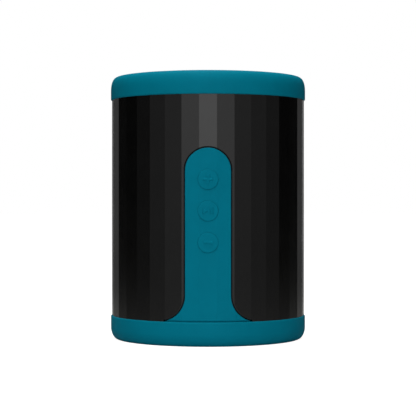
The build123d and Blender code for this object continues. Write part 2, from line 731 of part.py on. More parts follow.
# ---- Driver ----
def driver_basket():
    """Frame with six windows, a ledge for the spider and a terminal block."""
    basket = turned(
        (BASKET_RADIUS, BASKET_TOP),
        (BASKET_RADIUS, BAFFLE[1]),
        (24.0, BAFFLE[1]),
        (24.0, 80.0),
        (19.0, 68.0),
        (19.0, 66.5),
        (10.5, 66.5),
        (10.5, 67.7),
        (17.6, 67.7),
        (22.6, 80.0),
        (22.6, BASKET_TOP),
    )
    for i in range(6):
        window = block((17.0, 26.0), (-6.0, 6.0), (71.8, 78.6))
        basket -= Rot(0, 0, 60 * i) * window
    basket += ring(18.4, 17.2, 69.2, 70.2)
    basket += block((-3.5, 3.5), (19.0, 21.8), (67.6, 70.6))
    for x, y in around(4, DRIVER_SCREW_CIRCLE, 45):
        basket -= disc(0.8, BAFFLE[1], BASKET_TOP, x, y)
    return basket


def driver_screws():
    return together(
        screw(x, y, 81.1, BASKET_TOP, shank=0.7, head=1.1, rise=0.9)
        for x, y in around(4, DRIVER_SCREW_CIRCLE, 45)
    )


def driver_gasket():
    low = BASKET_TOP + ROLL_SHEET
    return ring(24.0, 23.1, low, low + 1.0)


def driver_pole_plate():
    return ring(17.5, 9.9, 63.0, 66.5)


def driver_magnet():
    return ring(MAGNET_RADIUS, 12.0, 58.0, 63.0)


def driver_yoke():
    """Back plate with the pole that stands in the voice coil."""
    return disc(17.5, YOKE_LOW, 58.0) + disc(8.4, 58.0, 66.5)


def voice_coil():
    """Thin former with its winding."""
    return ring(COIL_RADIUS, COIL_RADIUS - 0.2, 61.0, 74.0) + ring(9.5, COIL_RADIUS, 62.0, 67.5)


def driver_cone():
    return turned(
        (COIL_RADIUS + 0.05, 72.6),
        (COIL_RADIUS + 0.05, 73.4),
        (17.9, 84.7),
        (19.0, 84.7),
        (19.0, 84.2),
        (18.25, 84.2),
    )


def driver_dust_cap():
    """Shallow dome over the coil."""
    middle = Pos(0, 0, DOME_TOP - DOME_RADIUS)
    shell = middle * Sphere(DOME_RADIUS) - middle * Sphere(DOME_RADIUS - 0.5)
    return shell & disc(DOME_EDGE, YOKE_LOW + 10, DOME_TOP)


def roll(middle, height, way, inner_foot, outer_foot):
    """Half roll edge with a flat foot each side; way is 1 for a roll that rises, -1 for one that hangs."""
    arch = Circle(ROLL_RADIUS) - Circle(ROLL_RADIUS - ROLL_SHEET)
    arch &= Pos(0, way * ROLL_RADIUS / 2) * Rectangle(4 * ROLL_RADIUS, ROLL_RADIUS)
    section = Pos(middle, height) * arch
    foot_middle = height + way * ROLL_SHEET / 2
    for inner, outer in (
        (inner_foot, middle - ROLL_RADIUS + ROLL_SHEET),
        (middle + ROLL_RADIUS - ROLL_SHEET, outer_foot),
    ):
        section += Pos((inner + outer) / 2, foot_middle) * Rectangle(outer - inner, ROLL_SHEET)
    return revolve(Plane.XZ * section, Axis.Z)


def driver_surround():
    return roll(ROLL_MIDDLE, BASKET_TOP, 1, 17.95, 24.0)


def driver_spider():
    """Ring of small waves between the coil and the basket's ledge."""
    inner, outer, base, sheet, waves = 9.25, 18.3, 70.5, 0.3, 4
    steps = 8 * waves
    upper = []
    for i in range(steps + 1):
        share = i / steps
        radius = inner + (outer - inner) * share
        upper.append((radius, base + 0.45 * (1 - cos(radians(360 * waves * share)))))
    lower = [(radius, height - sheet) for radius, height in reversed(upper)]
    return turned(*upper, *lower)


# ---- Passive radiator ----
def radiator_frame():
    frame = ring(RADIATOR_RADIUS, 21.5, 18.4, BOX_LOW)
    for x, y in around(6, RADIATOR_SCREW_CIRCLE, 30):
        frame -= disc(1.0, 18.4, BOX_LOW, x, y)
    return frame


def radiator_surround():
    return roll(RADIATOR_ROLL, 18.4, -1, 16.4, 23.4)


def radiator_diaphragm():
    """Stiff disc with a raised middle ring."""
    return disc(RADIATOR_DISC, 18.4, 19.6) + ring(9.5, 8.4, 19.6, 20.4)


def radiator_weight():
    return disc(8.0, 19.6, 22.6)


def radiator_screws():
    return together(
        screw(x, y, 22.0, 18.4, shank=0.9, head=1.4, rise=1.2)
        for x, y in around(6, RADIATOR_SCREW_CIRCLE, 30)
    )


# ---- Battery and boards ----
def battery_pack():
    """Flat pouch pack with soft edges and a taped seam at the top."""
    pack = fillet(block(*BATTERY).edges().filter_by(Axis.Z), 3.0)
    y_middle = (BATTERY[1][0] + BATTERY[1][1]) / 2
    seam = block((-20, 20), (y_middle - 0.5, y_middle + 0.5), (BATTERY[2][1], BATTERY[2][1] + 1.2))
    return pack + seam


def battery_tray():
    """Bracket with a shelf under the pack, standoffs for the board and a lug each side."""
    low = BATTERY[2][0] - 1.5
    tray = block((-TRAY_HALF, TRAY_HALF), TRAY_Y, (low, 53.0))
    tray += block((-TRAY_HALF, TRAY_HALF), (-14.8, TRAY_Y[1]), (low, BATTERY[2][0] - 0.1))
    lugs = block((-BOX_RADIUS, BOX_RADIUS), TRAY_Y, (34.0, 43.0)) & disc(32.25, 34.0, 43.0)
    tray += lugs
    for x, z in BOARD_HOLES:
        tray += rod(1.8, x, z, TRAY_Y[1], BOARD_Y[0])
        tray -= rod(0.95, x, z, -1.2, BOARD_Y[0])
    return tray


def main_board():
    board = block((-BOARD_HALF, BOARD_HALF), BOARD_Y, BOARD_Z)
    for x, z in BOARD_HOLES:
        board -= rod(1.0, x, z, *BOARD_Y)
    return board


def shield_can():
    return block((-15, 3), (BOARD_Y[1], BOARD_Y[1] + 2.2), (31, 43)) - block(
        (-14.7, 2.7), (BOARD_Y[1], BOARD_Y[1] + 1.9), (31.3, 42.7)
    )


def board_components():
    """Amplifier chip, coils, capacitors and three lead connectors."""
    face = BOARD_Y[1]
    pieces = [block((-12, -5), (face, face + 1.2), (45, 51))]
    for x in (-1.0, 6.5):
        pieces.append(block((x, x + 5.5), (face, face + 4.0), (45, 50.5)))
    for z in (44.5, 40.0):
        pieces.append(rod(1.9, 13.0, z, face, face + 6.0))
    pieces.append(block((17.5, 21.5), (face, face + 4.4), (38.0, 46.0)))
    pieces.append(block((-21.5, -17.5), (face, face + 4.4), (38.0, 46.0)))
    pieces.append(block((7.5, 12.5), (face, face + 3.0), (PORT_LINE - 2, PORT_LINE + 2)))
    return together(pieces)


def board_screws():
    pieces = []
    face = BOARD_Y[1]
    for x, z in BOARD_HOLES:
        pieces.append(rod(0.9, x, z, -1.0, face) + rod(1.7, x, z, face, face + 1.2))
    return together(pieces)


def battery_lead():
    """Lead from the pack's end, round the tray, into its connector on the board."""
    face = BOARD_Y[1] + 2.2
    route = [
        (BATTERY[0][1], -9.0, 46.0),
        (28.5, -9.0, 46.0),
        (28.5, face, 42.0),
        (21.5, face, 42.0),
    ]
    return bent(route, [3.0, 4.2], LEAD_RADIUS)


def driver_lead():
    """Lead from its connector on the board up to the driver's terminal block."""
    face = BOARD_Y[1] + 2.2
    route = [
        (-19.5, face, 46.0),
        (-19.5, face, 50.5),
        (-17.0, 16.5, 55.0),
        (-6.0, 22.5, 58.5),
        (-2.0, 20.4, 62.5),
        (-2.0, 20.4, 67.6),
    ]
    return bent(route, [3.5, 4.2, 4.2, 3.5], LEAD_RADIUS)


def port_lead():
    """Straight lead from the port board's space through the pocket wall to the main board."""
    return rod(1.2, LUG_X, PORT_LINE, BOARD_Y[1] + 3.0, 23.2)


def key_ribbon():
    """Flat ribbon from the key board, through the enclosure's slot, under the tray to the main board."""
    back = -KEY_BOARD_BACK + RIBBON_SHEET / 2
    lift = BOARD_Y[0] - RIBBON_SHEET / 2
    route = FilletPolyline(
        (back, 40.0), (back, 33.0), (-29.4, 33.0), (-29.4, 26.3), (lift, 26.3), (lift, 30.0), radius=0.5
    )
    strip = trace(route, RIBBON_SHEET)
    ribbon = extrude(Plane.YZ * strip, RIBBON_HALF, both=True)
    return Pos(RIBBON_X, 0, 0) * ribbon


KEY_MARKS = {"plus": plus_mark(), "play": play_mark(), "minus": minus_mark()}

SUB_PARTS = (
    top_cap,
    bottom_cap,
    base_cover,
    grille_sleeve,
    acoustic_scrim,
    control_strip,
    strip_carrier,
    key_board,
    key_board_screws,
    switch_bodies,
    port_bezel,
    port_door,
    door_pin,
    door_seal,
    port_board,
    port_board_screws,
    usb_socket,
    aux_socket,
    top_plate,
    top_plate_screws,
    sound_deflector,
    base_plate,
    base_screws,
    enclosure,
    baffle,
    baffle_seal,
    baffle_screws,
    driver_basket,
    driver_screws,
    driver_gasket,
    driver_pole_plate,
    driver_magnet,
    driver_yoke,
    voice_coil,
    driver_cone,
    driver_dust_cap,
    driver_surround,
    driver_spider,
    radiator_frame,
    radiator_surround,
    radiator_diaphragm,
    radiator_weight,
    radiator_screws,
    battery_pack,
    battery_tray,
    main_board,
    shield_can,
    board_components,
    board_screws,
    battery_lead,
    driver_lead,
    port_lead,
    key_ribbon,
)


def main():
    os.makedirs("parts", exist_ok=True)
    for sub_part in SUB_PARTS:
        export_step(sub_part(), f"parts/{sub_part.__name__}.step")
    for name, height in KEY_HEIGHTS.items():
        export_step(key(height, KEY_MARKS[name]), f"parts/{name}_button.step")
        export_step(plunger(height), f"parts/{name}_plunger.step")


main()
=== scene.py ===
import bmesh
import bpy
import json
from math import cos, pi, radians, sin, tan
from mathutils import Matrix, Vector

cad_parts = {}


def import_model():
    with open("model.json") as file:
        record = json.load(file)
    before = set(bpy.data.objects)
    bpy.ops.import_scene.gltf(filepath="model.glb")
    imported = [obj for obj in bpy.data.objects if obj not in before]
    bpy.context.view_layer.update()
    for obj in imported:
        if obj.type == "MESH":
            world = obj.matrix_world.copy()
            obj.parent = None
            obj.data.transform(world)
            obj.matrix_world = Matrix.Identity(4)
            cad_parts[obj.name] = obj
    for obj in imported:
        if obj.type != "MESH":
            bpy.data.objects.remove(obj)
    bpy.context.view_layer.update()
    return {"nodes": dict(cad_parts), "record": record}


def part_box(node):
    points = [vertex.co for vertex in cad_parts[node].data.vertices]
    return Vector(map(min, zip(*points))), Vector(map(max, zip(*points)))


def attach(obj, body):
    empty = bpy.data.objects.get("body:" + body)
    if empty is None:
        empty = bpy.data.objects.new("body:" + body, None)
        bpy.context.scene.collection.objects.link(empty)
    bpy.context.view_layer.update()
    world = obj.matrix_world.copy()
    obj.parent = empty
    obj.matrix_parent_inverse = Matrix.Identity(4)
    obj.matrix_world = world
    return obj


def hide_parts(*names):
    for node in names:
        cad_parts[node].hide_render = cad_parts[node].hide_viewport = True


# Portable bluetooth speaker: studio scene and finishes. Metres, in the CAD model's frame.

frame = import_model()
NODES = frame["nodes"]
MM = 0.001

# ---- Colours, linear ----
TEAL = (0.0, 0.195, 0.291)
BLACK = (0.003, 0.003, 0.0031)


# ---- Materials ----
class Finish:
    """One material: a Principled shader, and nodes added round it."""

    def __init__(self, name, colour, roughness, specular=0.5, metallic=0.0):
        self.material = bpy.data.materials.new(name)
        self.material.use_nodes = True
        self.tree = self.material.node_tree
        self.tree.nodes.clear()
        self.shader = self.add("ShaderNodeBsdfPrincipled")
        self.set("Base Color", (*colour, 1))
        self.set("Roughness", roughness)
        self.set("Specular IOR Level", specular)
        self.set("Metallic", metallic)
        output = self.add("ShaderNodeOutputMaterial")
        self.tree.links.new(self.shader.outputs[0], output.inputs["Surface"])
        self.place = self.add("ShaderNodeTexCoord").outputs["Object"]
        self.normal = None

    def add(self, kind, **settings):
        node = self.tree.nodes.new(kind)
        for key, value in settings.items():
            setattr(node, key, value)
        return node

    def set(self, socket, value):
        """Sets one of the shader's own sockets."""
        self.shader.inputs[socket].default_value = value

    def feed(self, socket, output):
        self.tree.links.new(output, self.shader.inputs[socket])

    def join(self, output, node, socket):
        self.tree.links.new(output, node.inputs[socket])

    def stretched(self, scale):
        """Object coordinates scaled by an amount for each axis."""
        node = self.add("ShaderNodeMapping")
        node.inputs["Scale"].default_value = scale
        self.join(self.place, node, "Vector")
        return node.outputs[0]

    def noise(self, size, detail=2.0, roughness=0.5, place=None):
        """Noise whose lumps are about size metres across."""
        node = self.add("ShaderNodeTexNoise")
        node.inputs["Scale"].default_value = 1 / size
        node.inputs["Detail"].default_value = detail
        node.inputs["Roughness"].default_value = roughness
        self.join(place or self.place, node, "Vector")
        return node.outputs["Fac"]

    def cells(self, size, feature="F1", place=None):
        """Distance in Voronoi cells about size metres across."""
        node = self.add("ShaderNodeTexVoronoi", feature=feature)
        node.inputs["Scale"].default_value = 1 / size
        self.join(place or self.place, node, "Vector")
        return node.outputs["Distance"]

    def range(self, value, low, high, start, end):
        """Runs from low to high as the value goes from start to end."""
        node = self.add("ShaderNodeMapRange")
        for socket, number in zip(
            ("From Min", "From Max", "To Min", "To Max"), (start, end, low, high)
        ):
            node.inputs[socket].default_value = number
        self.join(value, node, "Value")
        return node.outputs[0]

    def math(self, operation, a, b=0.0):
        node = self.add("ShaderNodeMath", operation=operation)
        for i, value in enumerate((a, b)):
            if isinstance(value, (int, float)):
                node.inputs[i].default_value = value
            else:
                self.tree.links.new(value, node.inputs[i])
        return node.outputs[0]

    def blend(self, factor, first, second):
        """Colour that goes from the first to the second as the factor rises."""
        node = self.add("ShaderNodeMix", data_type="RGBA")
        self.tree.links.new(factor, node.inputs[0])
        node.inputs[6].default_value = (*first, 1)
        node.inputs[7].default_value = (*second, 1)
        return node.outputs[2]

    def bump(self, height, depth):
        """Adds a bump whose full height is depth metres."""
        node = self.add("ShaderNodeBump")
        node.inputs["Strength"].default_value = 1.0
        node.inputs["Distance"].default_value = depth
        self.join(height, node, "Height")
        if self.normal:
            self.join(self.normal, node, "Normal")
        self.normal = node.outputs[0]
        self.feed("Normal", self.normal)

    def cloud(self, size, low, high):
        """Soft lumps about size metres across, from low to high."""
        return self.range(self.noise(size, 3.0, 0.6), low, high, 0.3, 0.7)

    def tones(self, colour, spread, size):
        """Base colour that wanders a little round a colour."""
        dark = tuple(c * (1 - spread) for c in colour)
        light = tuple(c * (1 + spread) for c in colour)
        self.feed("Base Color", self.blend(self.cloud(size, 0, 1), dark, light))

    def gloss(self, middle, spread, size):
        """Roughness that wanders a little round a middle value."""
        self.feed("Roughness", self.cloud(size, middle - spread, middle + spread))


def silicone(name, colour, roughness=0.62):
    """Soft-touch silicone: fine stipple from the mould, faint cloudiness, a matt skin."""
    finish = Finish(name, colour, roughness, specular=0.03)
    finish.tones(colour, 0.035, 9 * MM)
    finish.gloss(roughness, 0.05, 4 * MM)
    finish.bump(finish.noise(0.22 * MM, 2.0), 0.012 * MM)
    finish.bump(finish.noise(2.5 * MM, 1.0), 0.01 * MM)
    return finish


def moulded(name, colour, roughness=0.45, grain=0.18 * MM, depth=0.012 * MM):
    """Injection-moulded plastic: spark-eroded grain and soft flow marks."""
    finish = Finish(name, colour, roughness, specular=0.4)
    finish.tones(colour, 0.12, 6 * MM)
    finish.gloss(roughness, 0.06, 3 * MM)
    finish.bump(finish.cells(grain), depth)
    return finish


def satin_paint(name, colour, roughness=0.21, peel=0.0008 * MM):
    """Satin black coat: a fine even orange peel and slight clouding."""
    finish = Finish(name, colour, roughness, specular=0.42)
    finish.tones(colour, 0.2, 14 * MM)
    finish.gloss(roughness, 0.02, 10 * MM)
    finish.bump(finish.noise(0.35 * MM, 2.0), peel)
    return finish


def metal(name, colour, roughness, brushed=(1, 1, 1)):
    """Bare metal: handling marks, and fine scratches drawn out along axes with a small scale."""
    finish = Finish(name, colour, roughness, metallic=1.0)
    finish.tones(colour, 0.1, 3 * MM)
    finish.gloss(roughness, 0.08, 2 * MM)
    finish.bump(finish.noise(0.12 * MM, 3.0, place=finish.stretched(brushed)), 0.004 * MM)
    return finish


def threads(finish, pitch, axis):
    """Rounded threads side by side along one axis, with a slight wander."""
    wander = finish.range(finish.noise(6 * pitch, 1.0), 0, 1.5 * pitch, 0.2, 0.8)
    along = finish.add("ShaderNodeSeparateXYZ")
    finish.join(finish.place, along, 0)
    moved = finish.math("ADD", along.outputs[axis], wander)
    turn = finish.math("MULTIPLY", moved, 2 * pi / pitch)
    return finish.range(finish.math("SINE", turn), 0, 1, -1, 1)


def woven(name, colour, pitch, depth, axes=("X", "Y")):
    """Plain weave cloth of two thread sets, each passing over and under the other; the hollows
    between threads are darkened, a painted shade.
    """
    finish = Finish(name, colour, 0.9, specular=0.15)
    warp, weft = (threads(finish, pitch, axis) for axis in axes)
    weave = finish.math("MAXIMUM", warp, weft)
    fuzz = finish.noise(0.08 * MM, 3.0)
    # painted shade: the cloth darkens to under half its colour in the hollows between threads
    finish.feed("Base Color", finish.blend(weave, tuple(c * 0.45 for c in colour), colour))
    finish.gloss(0.88, 0.06, 3 * MM)
    finish.bump(weave, depth)
    finish.bump(fuzz, 0.01 * MM)
    return finish


def pressed_paper(name, colour):
    """Pressed paper pulp: matted fibres and small flecks."""
    finish = Finish(name, colour, 0.85, specular=0.15)
    fibres = finish.noise(0.3 * MM, 5.0, 0.7, place=finish.stretched((1, 1, 3)))
    light = tuple(c * 2.2 for c in colour)
    finish.feed("Base Color", finish.blend(finish.range(fibres, 0, 1, 0.35, 0.75), colour, light))
    finish.gloss(0.84, 0.08, 2 * MM)
    finish.bump(fibres, 0.03 * MM)
    return finish


def winding(name, colour, pitch):
    """Enamelled wire wound round Z in even turns, darkened in the grooves between turns as
    painted shade.
    """
    finish = Finish(name, colour, 0.28, metallic=1.0)
    turns = threads(finish, pitch, "Z")
    # painted shade: the wire darkens to under a third of its colour in the grooves between turns
    finish.feed("Base Color", finish.blend(turns, tuple(c * 0.3 for c in colour), colour))
    finish.gloss(0.28, 0.06, 1 * MM)
    finish.bump(turns, 0.05 * MM)
    return finish


def sintered(name, colour):
    """Sintered ferrite: a matt ground face with open pores and grinding dust; the pores are
    darkened, a painted shade.
    """
    finish = Finish(name, colour, 0.6, specular=0.35)
    pores = finish.range(finish.cells(0.35 * MM), 0, 1, 0.0, 0.12)
    # painted shade: the face darkens to under half its colour in the pores
    finish.feed("Base Color", finish.blend(pores, tuple(c * 0.4 for c in colour), colour))
    finish.gloss(0.58, 0.1, 2 * MM)
    finish.bump(pores, 0.02 * MM)
    finish.bump(finish.noise(0.1 * MM, 3.0), 0.008 * MM)
    return finish


def laminate(name, colour):
    """Circuit board: solder mask over copper tracks and the weave of the glass cloth."""
    finish = Finish(name, colour, 0.3, specular=0.5)
    place = finish.stretched((1, 0.2, 1))
    edges = finish.cells(2.2 * MM, "DISTANCE_TO_EDGE", place)
    tracks = finish.range(edges, 0, 1, 0.1, 0.14)
    copper = tuple(min(1, c * 1.7 + 0.01) for c in colour)
    finish.feed("Base Color", finish.blend(tracks, colour, copper))
    finish.gloss(0.3, 0.06, 2 * MM)
    finish.bump(tracks, 0.02 * MM)
    finish.bump(threads(finish, 0.5 * MM, "X"), 0.003 * MM)
    return finish


def foil(name, colour):
    """Aluminium laminate pouch: soft wrinkles and an embossed grain."""
    finish = Finish(name, colour, 0.34, metallic=1.0)
    finish.tones(colour, 0.08, 5 * MM)
    finish.gloss(0.34, 0.08, 3 * MM)
    finish.bump(finish.noise(5 * MM, 2.0, place=finish.stretched((1, 1, 0.5))), 0.12 * MM)
    finish.bump(finish.cells(0.4 * MM), 0.01 * MM)
    return finish


def film(name, colour, pitch):
    """Flat ribbon: clear film over parallel copper lines."""
    finish = Finish(name, colour, 0.25, specular=0.5)
    lines = threads(finish, pitch, "X")
    finish.feed("Base Color", finish.blend(lines, tuple(c * 0.5 for c in colour), colour))
    finish.gloss(0.25, 0.05, 2 * MM)
    finish.bump(lines, 0.01 * MM)
    return finish


DARK = (0.012, 0.012, 0.013)
FINISHES = {
    "cap_silicone": silicone("cap_silicone", TEAL),
    "strip_silicone": silicone("strip_silicone", TEAL),
    "key_silicone": silicone("key_silicone", TEAL),
    "door_rubber": silicone("door_rubber", TEAL),
    "sleeve_paint": satin_paint("sleeve_paint", BLACK),
    "black_plastic": moulded("black_plastic", DARK),
    "cover_plastic": moulded("cover_plastic", DARK, 0.55, 0.5 * MM, 0.03 * MM),
    "chamber_plastic": moulded("chamber_plastic", (0.03, 0.03, 0.032), 0.5, 0.3 * MM),
    "dust_cloth": woven("dust_cloth", (0.02, 0.02, 0.02), 0.7 * MM, 0.06 * MM, ("X", "Z")),
    "screw_steel": metal("screw_steel", (0.45, 0.45, 0.46), 0.35),
    "pin_steel": metal("pin_steel", (0.55, 0.55, 0.56), 0.25, (0.1, 1, 1)),
    "basket_paint": satin_paint("basket_paint", (0.02, 0.02, 0.02), 0.4, 0.004 * MM),
    "pole_steel": metal("pole_steel", (0.5, 0.49, 0.46), 0.4, (1, 1, 0.1)),
    "ferrite": sintered("ferrite", (0.04, 0.04, 0.042)),
    "cone_paper": pressed_paper("cone_paper", (0.02, 0.02, 0.02)),
    "spider_cloth": woven("spider_cloth", (0.35, 0.22, 0.07), 0.6 * MM, 0.05 * MM),
    "coil_wire": winding("coil_wire", (0.75, 0.36, 0.18), 0.3 * MM),
    "edge_rubber": silicone("edge_rubber", DARK, 0.5),
    "disc_metal": metal("disc_metal", (0.6, 0.6, 0.6), 0.35, (0.15, 1, 1)),
    "board_laminate": laminate("board_laminate", (0.01, 0.09, 0.03)),
    "can_metal": metal("can_metal", (0.6, 0.6, 0.58), 0.3, (0.15, 1, 1)),
    "chip_plastic": moulded("chip_plastic", (0.015, 0.015, 0.015), 0.5, 0.08 * MM, 0.006 * MM),
    "stem_plastic": moulded("stem_plastic", (0.6, 0.6, 0.58), 0.4, 0.08 * MM, 0.006 * MM),
    "pouch_foil": foil("pouch_foil", (0.6, 0.6, 0.6)),
    "lead_sheath": silicone("lead_sheath", (0.3, 0.01, 0.01), 0.4),
    "ribbon_film": film("ribbon_film", (0.35, 0.16, 0.03), 1.0 * MM),
}

for part in frame["record"]["subparts"]:
    mesh = NODES[part["node"]].data
    mesh.materials.clear()
    mesh.materials.append(FINISHES[part["material_slot"]].material)


# ---- Mesh helpers ----
def finished(name, builder, slot, body, *nodes, crease=35):
    """Object from a bmesh, smooth except over its creases.

    It replaces the CAD nodes named and rides on the body named.
    """
    builder.normal_update()
    for face in builder.faces:
        face.smooth = True
    for edge in builder.edges:
        if len(edge.link_faces) == 2:
            edge.smooth = edge.calc_face_angle(0) < radians(crease)
    mesh = bpy.data.meshes.new(name)
    builder.to_mesh(mesh)
    builder.free()
    mesh.materials.append(FINISHES[slot].material)
    piece = bpy.data.objects.new(name, mesh)
    bpy.context.scene.collection.objects.link(piece)
    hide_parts(*nodes)
    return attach(piece, body)


def turned(profile, steps=256):
    """Bmesh turned about Z from a closed outline of (radius, height) points in millimetres."""
    builder = bmesh.new()
    rings = []
    for radius, height in profile:
        count = steps if radius > 0 else 1
        angles = [2 * pi * i / count for i in range(count)]
        places = [Vector((radius * cos(a), radius * sin(a), height)) * MM for a in angles]
        rings.append([builder.verts.new(place) for place in places])
    for here, there in zip(rings, rings[1:] + rings[:1]):
        for i in range(steps):
            corners = [here[i % len(here)], here[(i + 1) % len(here)]]
            corners += [there[(i + 1) % len(there)], there[i % len(there)]]
            corners = [c for k, c in enumerate(corners) if c not in corners[:k]]
            if len(corners) > 2:
                builder.faces.new(corners)
    bmesh.ops.recalc_face_normals(builder, faces=builder.faces)
    return builder


def arc(middle, radius, start, end, steps):
    """Points along an arc in the (radius, height) plane, its angles in degrees."""
    turns = [radians(start + (end - start) * i / steps) for i in range(steps + 1)]
    return [(middle[0] + radius * cos(t), middle[1] + radius * sin(t)) for t in turns]


# ---- Caps ----
CAP_RADIUS = 42.0
CAP_INNER = 40.4
HIGH_LIP = 102.65
LOW_LIP = 10.1
LIP_ROUND = 0.5
TOP = 112.5
TOP_CORNER = (3.2, 6.3, 2.44)  # width, height and power of the soft corner
LOW_CORNER = (2.9, 4.9, 1.9)
TOP_FACE = [(0, TOP), (20, TOP), (36, TOP)]
TOP_INSIDE = [(CAP_INNER, 105.5), (39.9, 108.6), (38.5, 110.0), (36.5, 110.5), (0, 110.5)]
LOW_HOLE = [(33.5, 2.5), (33.5, 0)]
LOW_INSIDE = [(CAP_INNER, 5.5), (38.4, 2.5)]


def soft_corner(end, width, height, power, way, steps=28):
    """Points from a cap's flat end to its upright side; way is the sign of the rise."""
    points = []
    for i in range(steps + 1):
        turn = pi / 2 * i / steps
        out = sin(turn) ** (2 / power)
        up = cos(turn) ** (2 / power)
        points.append((CAP_RADIUS - width + width * out, end + way * height * (1 - up)))
    return points


def top_cap():
    profile = TOP_FACE + soft_corner(TOP, *TOP_CORNER, -1)
    profile += arc((CAP_RADIUS - LIP_ROUND, HIGH_LIP + LIP_ROUND), LIP_ROUND, 0, -90, 7)
    profile += [(CAP_INNER, HIGH_LIP), *TOP_INSIDE]
    finished("top_cap_skin", turned(profile), "cap_silicone", "housing", "top_cap")


def bottom_cap():
    profile = LOW_HOLE + soft_corner(0, *LOW_CORNER, 1)
    profile += arc((CAP_RADIUS - LIP_ROUND, LOW_LIP - LIP_ROUND), LIP_ROUND, 0, 90, 7)
    profile += [(CAP_INNER, LOW_LIP), *LOW_INSIDE]
    finished("bottom_cap_skin", turned(profile), "cap_silicone", "housing", "bottom_cap")


top_cap()
bottom_cap()


# ---- Keys ----
KEY_RADIUS = 4.17
KEY_FACE = 41.61
KEY_RIM = 0.25
FLANGE = (5.0, 40.5, 39.6)  # radius, and the distances of its front and back from the axis
PEG = (1.5, 37.65)  # radius, and the distance of its tip from the axis
MARK_RISE = 0.28
MARK_SLOPE = 0.15  # how far a mark's sides lean in from foot to top
MARK_EDGE = (0.05, 0.06)  # width and height of the bevel round a mark's top
MARK_SINK = 0.1
MARK_CORNER = 0.21
MARK_HALF = 2.0
BAR_HALF = 0.52


def rectangle(x, y, half_x, half_y):
    """Outline of a bar, counterclockwise."""
    left, right, low, high = x - half_x, x + half_x, y - half_y, y + half_y
    return [(left, low), (right, low), (right, high), (left, high)]


def cross(half, bar):
    """Outline of a plus, counterclockwise."""
    arm = [(half, -bar), (half, bar), (bar, bar)]
    quarters = ((1, 0), (0, 1), (-1, 0), (0, -1))
    return [(x * c - y * s, x * s + y * c) for c, s in quarters for x, y in arm]


MARKS = {
    "plus": [cross(MARK_HALF, BAR_HALF)],
    "play": [
        [(-2.2, -1.5), (0.15, 0), (-2.2, 1.5)],
        rectangle(0.85, 0, 0.38, 1.4),
        rectangle(2.05, 0, 0.38, 1.4),
    ],
    "minus": [rectangle(0, 0, MARK_HALF, BAR_HALF)],
}


def soft_outline(corners, inset, steps=5):
    """Outline with rounded corners, moved in by inset, from counterclockwise corners."""
    points = []
    for i, corner in enumerate(corners):
        here = Vector(corner)
        back = (Vector(corners[i - 1]) - here).normalized()
        on = (Vector(corners[(i + 1) % len(corners)]) - here).normalized()
        hollow = back.x * on.y - back.y * on.x > 0
        half = back.angle(on) / 2
        reach = MARK_CORNER / sin(half)
        middle = here + (back + on).normalized() * reach
        radius = MARK_CORNER + (inset if hollow else -inset)
        first = (back * MARK_CORNER / tan(half) + here - middle).normalized()
        last = (on * MARK_CORNER / tan(half) + here - middle).normalized()
        for k in range(steps + 1):
            points.append(middle + first.slerp(last, k / steps) * radius)
    return points


def add_mark(builder, corners, face):
    """Raised mark on a key's face: sloping sides, bevelled top and a foot sunk in the face."""
    width, height = MARK_EDGE
    levels = [(0, -MARK_SINK), (0, 0), (MARK_SLOPE, MARK_RISE - height)]
    levels.append((MARK_SLOPE + width, MARK_RISE))
    loops = []
    for inset, rise in levels:
        outline = soft_outline(corners, inset)
        loops.append([builder.verts.new(Vector((p.x, p.y, face + rise)) * MM) for p in outline])
    for low, high in zip(loops, loops[1:]):
        for i in range(len(low)):
            k = (i + 1) % len(low)
            builder.faces.new([low[i], low[k], high[k], high[i]])
    for loop, way in ((loops[-1], 1), (loops[0], -1)):
        middle = builder.verts.new(sum((corner.co for corner in loop), Vector()) / len(loop))
        for i in range(len(loop)):
            builder.faces.new([loop[i], loop[(i + 1) % len(loop)], middle][::way])


def key(name, marks):
    """Round key, turned: rounded rim, flange behind the strip and peg onto its switch."""
    low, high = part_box(name + "_button")
    height = (low[2] + high[2]) / 2
    radius, front, back = FLANGE
    profile = [(0, KEY_FACE), (KEY_RADIUS * 0.6, KEY_FACE)]
    profile += arc((KEY_RADIUS - KEY_RIM, KEY_FACE - KEY_RIM), KEY_RIM, 90, 0, 8)
    profile += [(KEY_RADIUS, front), (radius, front), (radius, back), (PEG[0], back)]
    profile += [PEG, (0, PEG[1])]
    builder = turned(profile, 96)
    for corners in marks:
        add_mark(builder, corners, KEY_FACE)
    builder.transform(Matrix.Translation((0, 0, height)) @ Matrix.Rotation(pi / 2, 4, "X"))
    skin, button = name + "_key_skin", name + "_button"
    finished(skin, builder, "key_silicone", name + "_key", button, crease=25)


for name, marks in MARKS.items():
    key(name, marks)


# ---- Stage, lights and camera ----
FLOOR_TONES = (0.45, 0.12)  # grey near the object, and far from it
TONES_SPAN = (0.1, 0.35)  # distances that count as near and as far
# the dimmer glow near the object is a painted shade round its foot
FLOOR_GLOW = (0.93, 1.02)  # light given off to the camera, near and far
GLOW_SPAN = (0.05, 0.25)
FLOOR_ROUGHNESS = 0.12
FLOOR_IOR = 1.9
FLOOR_RADIUS = 6
WORLD_DIM = 0.0  # strength of the world for all but the camera's own rays


